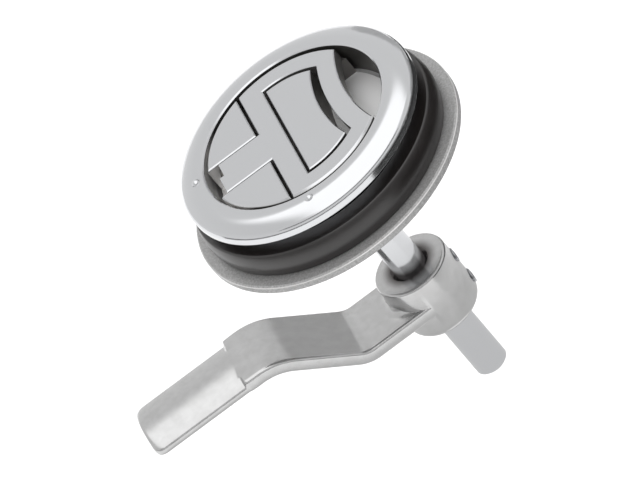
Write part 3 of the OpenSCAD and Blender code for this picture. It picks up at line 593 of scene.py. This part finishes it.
def drawn_spring_wire():
    """Hard drawn spring steel, for the springs and the clip."""
    # Drawing and stress relief leave a straw-grey skin, duller than the turned parts.
    material, tree, coordinates = start_material("drawn_spring_steel")
    drawn_mm = 0.25
    streaks = noise(tree, coordinates, drawn_mm, 2.0)
    shader = principled(tree, finish_colours().wire, ramp(tree, streaks, after=(0.32, 0.48)), Metallic=1.0)
    return end_material(material, tree, shader)


def moulded_rubber():
    """Compression-moulded black rubber, for the gasket and the shaft's seal."""
    # The mould's skin is a dull black with a soft grey sheen and a trace of bloom.
    material, tree, coordinates = start_material("moulded_black_rubber")
    bloom_mm, skin_mm, skin_depth_mm = 6.0, 0.35, 0.03
    bloom = noise(tree, coordinates, bloom_mm, 3.0)
    base = between(tree, bloom, finish_colours().rubber, finish_colours().rubber_bloom)
    normal = bumps(tree, noise(tree, coordinates, skin_mm, 3.0), 0.03, skin_depth_mm)
    shader = principled(tree, base, ramp(tree, bloom, after=(0.28, 0.34)), **{
        "Normal": normal, "IOR": 1.52, "Specular IOR Level": 0.8})
    return end_material(material, tree, shader)


def sintered_bronze():
    """Oil-filled sintered bronze, for the shaft's bush."""
    # Pressed powder shows a warm metal full of dark pores.
    material, tree, coordinates = start_material("sintered_bronze")
    pore_mm = 0.22
    pores = ramp(tree, noise(tree, coordinates, pore_mm, 4.0), (0.5, 0.7), (0.0, 0.8))
    base = between(tree, pores, finish_colours().bronze, finish_colours().bronze_pore)
    return end_material(material, tree, principled(tree, base, 0.4, Metallic=1.0))


def natural_nylon():
    """Natural nylon, for the thrust washer."""
    # Undyed nylon is a milky white with a waxy, half-dull skin.
    material, tree, coordinates = start_material("natural_nylon")
    wax_mm = 1.2
    gloss = ramp(tree, noise(tree, coordinates, wax_mm, 2.0), after=(0.38, 0.52))
    return end_material(material, tree, principled(tree, finish_colours().nylon, gloss, IOR=1.53))


FINISHES = {
    polished_stainless: ("index_pins", "drive_shaft"),
    faced_stainless: ("bezel_housing", "rotor"),
    tumbled_back_stainless: ("pull_ring",),
    blasted_cast_stainless: ("clamp_flange",),
    bright_turned_steel: ("cross_pin", "hinge_pin", "stop_pin", "clip_washer"),
    drawn_spring_wire: ("lock_washers", "retaining_ring"),
    sintered_bronze: ("shaft_bush",),
    natural_nylon: ("thrust_washer",),
}


def finish(make):
    """Material made by a function, made once and then shared."""
    if make not in finish.made:
        finish.made[make] = make()
    return finish.made[make]


finish.made = {}


class LATCH_OT_finishes(bpy.types.Operator):
    """Gives every piece that keeps its CAD shape its own finish"""

    bl_idname = "latch.finishes"
    bl_label = "Finishes"

    def execute(self, context):
        for make, nodes in FINISHES.items():
            for node in nodes:
                materials = frame["nodes"][node].data.materials
                materials.clear()
                materials.append(finish(make))
        return {"FINISHED"}


class LATCH_OT_gasket(bpy.types.Operator):
    """Moulds the thick gasket: a rounded block whose side swells by bulge * (1 - (2 height - 1)^2)"""

    bl_idname = "latch.gasket"
    bl_label = "Deck gasket"

    def execute(self, context):
        sizes = context.scene.latch_gasket
        bore, outer = node_radii("deck_gasket")
        low, high = (corner.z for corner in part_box("deck_gasket"))
        side = outer - sizes.bulge
        block = rounded_outline((
            (bore, low, sizes.edge), (side, low, sizes.edge),
            (side, high, sizes.edge), (bore, high, sizes.edge)))
        upright = np.linspace(low + sizes.edge, high - sizes.edge, 25)[1:-1]
        flank = np.stack((side + 0 * upright, upright), axis=1)
        outline = np.insert(block, len(block) // 2, flank, axis=0)
        height = (outline[:, 1] - low) / (high - low)
        outline[:, 0] += sizes.bulge * (1 - (2 * height - 1) ** 2) * (outline[:, 0] > side - sizes.edge)
        add_piece("moulded_deck_gasket", [shell_of(revolve(outline, 240))], finish(moulded_rubber), "housing",
                  "deck_gasket", sharp=50)
        return {"FINISHED"}


class LATCH_OT_shaft_seal(bpy.types.Operator):
    """Moulds the O-ring: a round wire that swells by flash * exp(-(sin t / spread)^2) at its parting line"""

    bl_idname = "latch.shaft_seal"
    bl_label = "Shaft seal"

    def execute(self, context):
        inner, outer = node_radii("shaft_seal")
        low, high = (corner.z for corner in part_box("shaft_seal"))
        wire = (high - low) / 2
        flash_spread = 0.12
        t = np.linspace(0, TURN, 48, endpoint=False)
        swell = wire - context.scene.latch_gasket.flash * (1 - np.exp(-(np.sin(t) / flash_spread) ** 2))
        outline = np.stack(
            ((inner + outer) / 2 + swell * np.cos(t), (low + high) / 2 + swell * np.sin(t)), axis=1)
        add_piece("shaft_o_ring", [shell_of(revolve(outline, 96))], finish(moulded_rubber),
                  "housing", "shaft_seal")
        return {"FINISHED"}


def arm_stations(arm, reach):
    """Stations along the arm as columns: distance out, height, slope, half width, half thickness and crown.

    The middle line runs level, turns up on an arc, climbs, turns back on an arc and runs level to the tip.
    """
    bend_r = arm.bend_r + arm.thickness / 2
    crest_r = arm.crest_r + arm.thickness / 2
    low = -arm.hub_drop - arm.step - arm.thickness / 2
    high = low + arm.rise
    set_back = crest_r * math.tan(arm.slope / 2)
    first = arm.bend_x - bend_r * math.tan(arm.slope / 2)
    second = arm.bend_x + arm.rise / math.tan(arm.slope) - set_back * math.cos(arm.slope)
    pad = reach - arm.pad_l
    half = arm.width / 2
    root = np.linspace(0, first, 48, endpoint=False)
    a = np.linspace(0, arm.slope, 14)
    up_bend = (first + bend_r * np.sin(a), low + bend_r * (1 - np.cos(a)), a)
    climb = np.linspace(0, 1, 12)[1:-1]
    b = arm.slope - a
    top_bend = (
        second + crest_r * (math.sin(arm.slope) - np.sin(b)),
        high - set_back * math.sin(arm.slope) + crest_r * (np.cos(b) - math.cos(arm.slope)),
        b,
    )
    slope_x = up_bend[0][-1] + climb * (top_bend[0][0] - up_bend[0][-1])
    slope_z = up_bend[1][-1] + climb * (top_bend[1][0] - up_bend[1][-1])
    level = np.linspace(top_bend[0][-1], pad, 24)[1:]
    step = np.array((1 / 6, 5 / 9, 1)) * arm.ramp
    run = np.linspace(pad + 2 * arm.ramp, reach - arm.tip_r, 20, endpoint=False)
    t = np.linspace(0, TURN / 4, 12)
    corner = reach - arm.tip_r * (1 - np.sin(t))
    out = np.concatenate((root, up_bend[0], slope_x, top_bend[0], level, pad + step, run, corner))
    bent = np.concatenate((0 * root + low, up_bend[1], slope_z, top_bend[1]))
    turn = np.concatenate((0 * root, up_bend[2], 0 * climb + arm.slope, top_bend[2]))
    flat = len(out) - len(bent)
    height = np.concatenate((bent, np.full(flat, high)))
    slope = np.concatenate((turn, np.zeros(flat)))
    on_pad = np.clip((out - pad) / arm.ramp, 0, 1)
    crown = arm.crown * on_pad * on_pad * (3 - 2 * on_pad)
    shoulder = np.clip((out - pad + arm.tip_r) / arm.tip_r, 0, 1)
    width = half - arm.ramp / 4 * (1 - np.sqrt(1 - shoulder * shoulder) + on_pad)
    width[-len(t):] -= arm.tip_r * (1 - np.cos(t))
    eased = np.clip((out - reach + arm.edge) / arm.edge, 0, 1)
    thick = arm.thickness / 2 - arm.edge * 0.5 * (1 - np.sqrt(1 - eased * eased))
    return [column[:, None] for column in (out, height, slope, width, thick, crown)]


def arm_section(half, thick, crown, edge):
    """Outline of the arm's section from one top edge round: across and up, for every station at once.

    The top falls from its middle by crown * (across / half)^2, and its edges are arcs that leave it smoothly.
    """
    lean = np.arctan(2 * crown / half)
    turn = half - edge + edge * np.sin(lean)
    top_y = turn * np.linspace(1, -1, 33)[None]
    top_z = thick - crown * (top_y / half) ** 2
    centre = thick - crown * (turn / half) ** 2 - edge * np.cos(lean)
    t = np.linspace(0, 1, 9)[None, 1:]
    upper = lean + (TURN / 4 - lean) * t
    lower = TURN / 4 * (1 + np.linspace(0, 1, 9)[None])
    arc_y = np.concatenate((half - edge + edge * np.sin(upper), half - edge + edge * np.sin(lower)), axis=1)
    arc_z = np.concatenate((centre + edge * np.cos(upper), edge - thick + edge * np.cos(lower)), axis=1)
    across = np.concatenate((top_y, -arc_y, arc_y[:, ::-1]), axis=1)
    up = np.concatenate((top_z, arc_z, arc_z[:, ::-1]), axis=1)
    return across, up


def arm_loft(arm, hub_r, reach):
    """Cranked arm: sections stand square to the middle line, and near the hub the skin curves up to it.

    At distance r from the axis the cast fillet lifts the skin by f - sqrt(f^2 - (hub - bite + f - r)^2), and
    fades towards the arm's long edges.
    """
    out, height, slope, half, thick, crown = arm_stations(arm, reach)
    across, up = arm_section(half, thick, crown, arm.edge)
    x = up * np.sin(slope) - out
    z = height + up * np.cos(slope)
    f = arm.fillet
    near = np.clip(hub_r - arm.bite + f - np.hypot(x, across), 0, f)
    inner = np.clip((half - np.abs(across)) / arm.fade, 0, 1)
    z = z + np.sign(up) * (f - np.sqrt(f * f - near * near)) * inner * inner * (3 - 2 * inner)
    points = np.stack((x, across + 0 * x, z), axis=-1)
    rows, columns = x.shape
    caps = [list(range(columns)), list(range((rows - 1) * columns, rows * columns))]
    return points.reshape(-1, 3), grid_faces(rows, columns, wrap_rows=False) + caps


def mesh_of(name, points, faces):
    """Plain mesh object of one closed shell, used while a piece is made."""
    mesh = bpy.data.meshes.new(name)
    mesh.from_pydata(points.tolist(), [], faces)
    face_outwards(mesh)
    maker = bpy.data.objects.new(name, mesh)
    bpy.context.scene.collection.objects.link(maker)
    return maker


class LATCH_OT_cam_arm(bpy.types.Operator):
    """Casts the cam arm: a bored hub with a cranked arm that ends in a crowned pad"""

    bl_idname = "latch.cam_arm"
    bl_label = "Cam arm"

    def execute(self, context):
        arm = context.scene.latch_arm
        low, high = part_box("cam_arm")
        hub_r, reach = high.x, -low.x
        top, bottom = -arm.hub_drop, -arm.hub_drop - arm.hub_h
        bore_r = arm.bore / 2
        outline = rounded_outline((
            (0, bottom, 0), (hub_r, bottom, arm.hub_round), (hub_r, top, arm.hub_edge), (0, top, 0)),
            arc_points=10)
        hub = mesh_of("hub_blank", *lathe(outline[1:-1], 160))
        loft = mesh_of("arm_blank", *arm_loft(arm, hub_r, reach))
        bore = mesh_of("bore_drill", *lathe(np.array((
            (bore_r + MM, bottom - MM), (bore_r, bottom + arm.lead), (bore_r, top - arm.sink),
            (bore_r + 2 * arm.sink, top + arm.sink))), 96))
        for operation, tool in (("UNION", loft), ("DIFFERENCE", bore)):
            cut = hub.modifiers.new(operation.lower(), "BOOLEAN")
            cut.operation, cut.solver, cut.object = operation, "EXACT", tool
        evaluated = hub.evaluated_get(context.evaluated_depsgraph_get())
        mesh = bpy.data.meshes.new_from_object(evaluated)
        for maker in (hub, loft, bore):
            bpy.data.objects.remove(maker)
        mesh.materials.clear()
        finish_piece("cast_cam_arm", mesh, finish(tumbled_cast_stainless), "cam", "cam_arm")
        return {"FINISHED"}


class LATCH_OT_set_screws(bpy.types.Operator):
    """Cuts the two set screws, with their thread and hexagonal sockets"""

    bl_idname = "latch.set_screws"
    bl_label = "Set screws"

    def execute(self, context):
        sizes = context.scene.latch_screws
        low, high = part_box("set_screws")
        radius = (high.y - low.y) / 2
        columns = 48
        depth, socket, rim_r, tip_r = 0.54 * sizes.set_pitch, radius * 0.5, radius * 0.86, radius * 0.7
        thread, heights = threaded(
            radius, sizes.set_pitch, depth, low.x + sizes.tip, high.x - sizes.rim, columns)
        end, end_heights = socket_rings(socket, rim_r, high.x, radius, columns)
        tip = np.full((1, columns), tip_r)
        points, faces = turned(
            np.concatenate((tip, thread, end)), np.concatenate(([low.x], heights, end_heights)))
        laid = points[:, (2, 1, 0)] * (1, -1, 1)
        shells = [(laid + (0, 0, z), faces) for z in (low.z + radius, high.z - radius)]
        add_piece("threaded_set_screws", shells, finish(bright_turned_steel), "cam",
                  "set_screws")
        return {"FINISHED"}


class LATCH_OT_clamp_screws(bpy.types.Operator):
    """Cuts the four clamp screws, with knurled heads, sockets and threads"""

    bl_idname = "latch.clamp_screws"
    bl_label = "Clamp screws"

    def execute(self, context):
        sizes = context.scene.latch_screws
        low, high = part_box("clamp_screws")
        radius = sizes.clamp_d / 2
        across = sizes.clamp_circle / 2 * math.cos(TURN / 8)
        head_r = high.x - across
        per_knurl = 6
        columns = per_knurl * sizes.knurls
        seat, rim_r = low.z + sizes.clamp_head, head_r - sizes.head_edge
        depth, socket, socket_depth = 0.5 * sizes.clamp_pitch, radius * 0.7, 0.6 * sizes.clamp_head
        thread, heights = threaded(radius, sizes.clamp_pitch, depth, seat, high.z, columns)
        knurl = head_r - sizes.knurl * (np.arange(columns) % per_knurl >= per_knurl // 2)
        rim = np.full(columns, rim_r)
        head = np.stack((rim, knurl, knurl, rim))
        head_heights = np.array((low.z, low.z + sizes.head_edge, seat - sizes.seat_edge, seat))
        end, end_heights = socket_rings(socket, rim_r, low.z, -socket_depth, columns)
        radii = np.concatenate((end[::-1], head[1:], thread))
        points, faces = turned(radii, np.concatenate((end_heights[::-1], head_heights[1:], heights)))
        shells = [(points + (x, y, 0), faces) for x, y in (
            (across, across), (-across, across), (-across, -across), (across, -across))]
        add_piece("threaded_clamp_screws", shells, finish(bright_turned_steel), "housing",
                  "clamp_screws")
        return {"FINISHED"}


class LATCH_OT_springs(bpy.types.Operator):
    """Winds the ring's return spring and presses the shaft's wave washer"""

    bl_idname = "latch.springs"
    bl_label = "Springs"

    def execute(self, context):
        sizes = context.scene.latch_springs
        self.return_spring(sizes)
        self.wave_washer(sizes)
        return {"FINISHED"}

    def return_spring(self, sizes):
        """Torsion spring: a helix about the hinge, y rising with the angle, and a straight leg at each end.

        The spring stays where it is built and rides on no body.
        """
        low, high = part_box("ring_spring")
        hinge = Vector(joint("ring_lift")["pos_m"])
        wire = sizes.wire / 2
        coil_r = high.z - wire - hinge.z
        first, last = low.y + wire, high.y - wire
        points_per_coil = 40
        t = np.linspace(0, 1, int(points_per_coil * sizes.coils))
        a = TURN * (0.25 + sizes.coils * t)
        coil = np.stack(
            (hinge.x + coil_r * np.cos(a), first + (last - first) * t, hinge.z + coil_r * np.sin(a)), axis=1)
        straight = np.linspace(1, 0, 8, endpoint=False)[:, None] * (sizes.leg, 0, 0)
        path = np.concatenate((coil[0] + straight, coil, (coil[-1] + straight)[::-1]))
        shell = tube(path, wire, 14, (0, 1, 0))
        ends = ((hinge.x, first + wire, hinge.z), (hinge.x, last - wire, hinge.z))
        add_piece("wound_return_spring", [shell], finish(drawn_spring_wire), "rotor",
                  "ring_spring", body_blend=("ring", "rotor", *ends))

    def wave_washer(self, sizes):
        """Wave washer: a flat strip round the axis that rises by swing * (1 - cos(waves * angle)) / 2."""
        inner, outer = node_radii("wave_washer")
        low, high = (corner.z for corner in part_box("wave_washer"))
        swing = high - low - sizes.strip
        edge, top, segments = sizes.strip_edge, low + sizes.strip, 180
        strip = rounded_outline(
            ((inner, low, edge), (outer, low, edge), (outer, top, edge), (inner, top, edge)), arc_points=4)
        grid = revolve(strip, segments)
        t = np.linspace(0, TURN, segments, endpoint=False)[:, None]
        grid[:, :, 2] += swing * (1 - np.cos(sizes.waves * t)) / 2
        add_piece("pressed_wave_washer", [shell_of(grid)], finish(drawn_spring_wire), "housing",
                  "wave_washer")


class LATCH_OT_stage(bpy.types.Operator):
    """Sets the camera at the photograph's angle, on a pale floor under a soft studio sky"""

    bl_idname = "latch.stage"
    bl_label = "Stage"

    def execute(self, context):
        studio = context.scene.latch_studio
        self.camera(context, studio)
        self.floor(studio)
        on_floor = cad_box[0].z - studio.floor_drop + MM
        for name, tone, spread, edges in CARDS:
            self.card(name, tone, spread, [(r, on_floor if z is None else z) for r, z in edges])
        self.sky(context)
        context.scene.view_settings.view_transform = "Standard"
        return {"FINISHED"}

    def camera(self, context, studio):
        """Camera turned by azimuth, elevation and roll, whose aimed point falls on its pixel."""
        az, el, roll = studio.azimuth, studio.elevation, studio.roll
        level = Vector((math.cos(az), math.sin(az), 0))
        raised = Vector((-math.sin(az) * math.sin(el), math.cos(az) * math.sin(el), math.cos(el)))
        right = math.cos(roll) * level - math.sin(roll) * raised
        up = math.sin(roll) * level + math.cos(roll) * raised
        back = right.cross(up)
        metres_per_px = studio.distance / studio.focal_px
        place = (
            Vector((0, 0, studio.aim_z)) + back * studio.distance
            - right * (studio.aim_px_x - IMAGE_W / 2) * metres_per_px
            - up * (IMAGE_H / 2 - studio.aim_px_y) * metres_per_px
        )
        data = bpy.data.cameras.new("camera")
        data.sensor_width = SENSOR_W
        data.lens = studio.focal_px * SENSOR_W / IMAGE_W
        data.clip_start, data.clip_end = CLIP_START, CLIP_END
        camera = bpy.data.objects.new("camera", data)
        camera.matrix_world = Matrix((
            (*right, 0), (*up, 0), (*back, 0), (*place, 1))).transposed()
        context.scene.collection.objects.link(camera)
        context.scene.camera = camera

    def floor(self, studio):
        """Square paper floor below the latch: matt white, with its own white for what sees it."""
        half = studio.floor_w / 2
        z = cad_box[0].z - studio.floor_drop
        corners = [(-half, -half, z), (half, -half, z), (half, half, z), (-half, half, z)]
        mesh = bpy.data.meshes.new("paper_floor")
        mesh.from_pydata(corners, [], [(0, 1, 2, 3)])
        material, tree, _ = start_material("white_paper")
        path = add_node(tree, "ShaderNodeLightPath")
        seen = math_node(tree, "ADD", path.outputs["Is Camera Ray"], path.outputs["Is Glossy Ray"])
        seen_through = math_node(tree, "ADD", seen, path.outputs["Is Transmission Ray"])
        lift = math_node(tree, "MULTIPLY", seen_through, PAPER_LIFT)
        matt = add_node(tree, "ShaderNodeBsdfDiffuse", {"Color": finish_colours().paper})
        glow = add_node(tree, "ShaderNodeEmission", {"Color": finish_colours().paper, "Strength": lift})
        both = add_node(tree, "ShaderNodeAddShader", {0: matt.outputs[0], 1: glow.outputs[0]})
        mesh.materials.append(end_material(material, tree, both))
        floor = bpy.data.objects.new("paper_floor", mesh)
        bpy.context.scene.collection.objects.link(floor)

    def card(self, name, tone, spread, edges):
        """Card bent round the latch's axis from one bearing in degrees to another, seen only in reflections.

        Its two edges are given as a distance from the axis and a height.
        """
        t = np.radians(np.linspace(*spread, CARD_POINTS))[:, None]
        distance, z = np.array(edges).T[:, None]
        grid = np.stack((distance * np.cos(t), distance * np.sin(t), z + 0 * t), axis=-1)
        mesh = bpy.data.meshes.new(name)
        mesh.from_pydata(grid.reshape(-1, 3).tolist(), [], grid_faces(CARD_POINTS, 2, False, False))
        material, tree, _ = start_material(name + "_cloth")
        matt = add_node(tree, "ShaderNodeBsdfDiffuse", {"Color": getattr(finish_colours(), tone)})
        mesh.materials.append(end_material(material, tree, matt))
        card = bpy.data.objects.new(name, mesh)
        card.visible_camera = False
        card.visible_diffuse = False
        card.visible_shadow = False
        bpy.context.scene.collection.objects.link(card)

    def sky(self, context):
        """Studio sky: even light whose level falls a little with height, and a long softbox overhead.

        The softbox fills the high directions that don't lean far to the left, and fades at its edges.
        """
        world = bpy.data.worlds.new("studio")
        world.use_nodes = True
        tree = world.node_tree
        tree.nodes.clear()
        direction = add_node(tree, "ShaderNodeTexCoord").outputs["Generated"]
        axes = add_node(tree, "ShaderNodeSeparateXYZ", {0: direction}).outputs
        even = ramp(tree, axes["Z"], after=(SKY_LOW, SKY_HIGH))
        right = ramp(tree, axes["X"], SOFTBOX_LEFT, kind="SMOOTHSTEP")
        high = ramp(tree, axes["Z"], SOFTBOX_FOOT, kind="SMOOTHSTEP")
        softbox = math_node(tree, "MULTIPLY", math_node(tree, "MULTIPLY", right, high), SOFTBOX_LEVEL)
        level = math_node(tree, "ADD", even, softbox)
        lit = add_node(tree, "ShaderNodeBackground", {"Strength": level, "Color": (1, 1, 1, 1)})
        add_node(tree, "ShaderNodeOutputWorld", {"Surface": lit.outputs[0]})
        context.scene.world = world


class LATCH_PT_panel(bpy.types.Panel):
    """Lists the steps that dress the latch"""

    bl_idname = "LATCH_PT_panel"
    bl_label = "Flush pull ring latch"
    bl_space_type = "VIEW_3D"
    bl_region_type = "UI"
    bl_category = "Latch"

    def draw(self, context):
        for step in STEPS:
            self.layout.operator(step.bl_idname)


STEPS = (
    LATCH_OT_finishes, LATCH_OT_gasket, LATCH_OT_shaft_seal, LATCH_OT_cam_arm, LATCH_OT_set_screws,
    LATCH_OT_clamp_screws, LATCH_OT_springs, LATCH_OT_stage,
)
SETTINGS = {
    "latch_gasket": GasketSizes,
    "latch_arm": ArmSizes,
    "latch_screws": ScrewSizes,
    "latch_springs": SpringSizes,
    "latch_colours": FinishColours,
    "latch_studio": StudioSettings,
}


def register():
    for kind in (*SETTINGS.values(), *STEPS, LATCH_PT_panel):
        bpy.utils.register_class(kind)
    for name, kind in SETTINGS.items():
        setattr(bpy.types.Scene, name, PointerProperty(type=kind))


def unregister():
    for name in SETTINGS:
        delattr(bpy.types.Scene, name)
    for kind in reversed((*SETTINGS.values(), *STEPS, LATCH_PT_panel)):
        bpy.utils.unregister_class(kind)


def main():
    register()
    for step in STEPS:
        group, name = step.bl_idname.split(".")
        getattr(getattr(bpy.ops, group), name)()


if __name__ == "__main__":
    main()
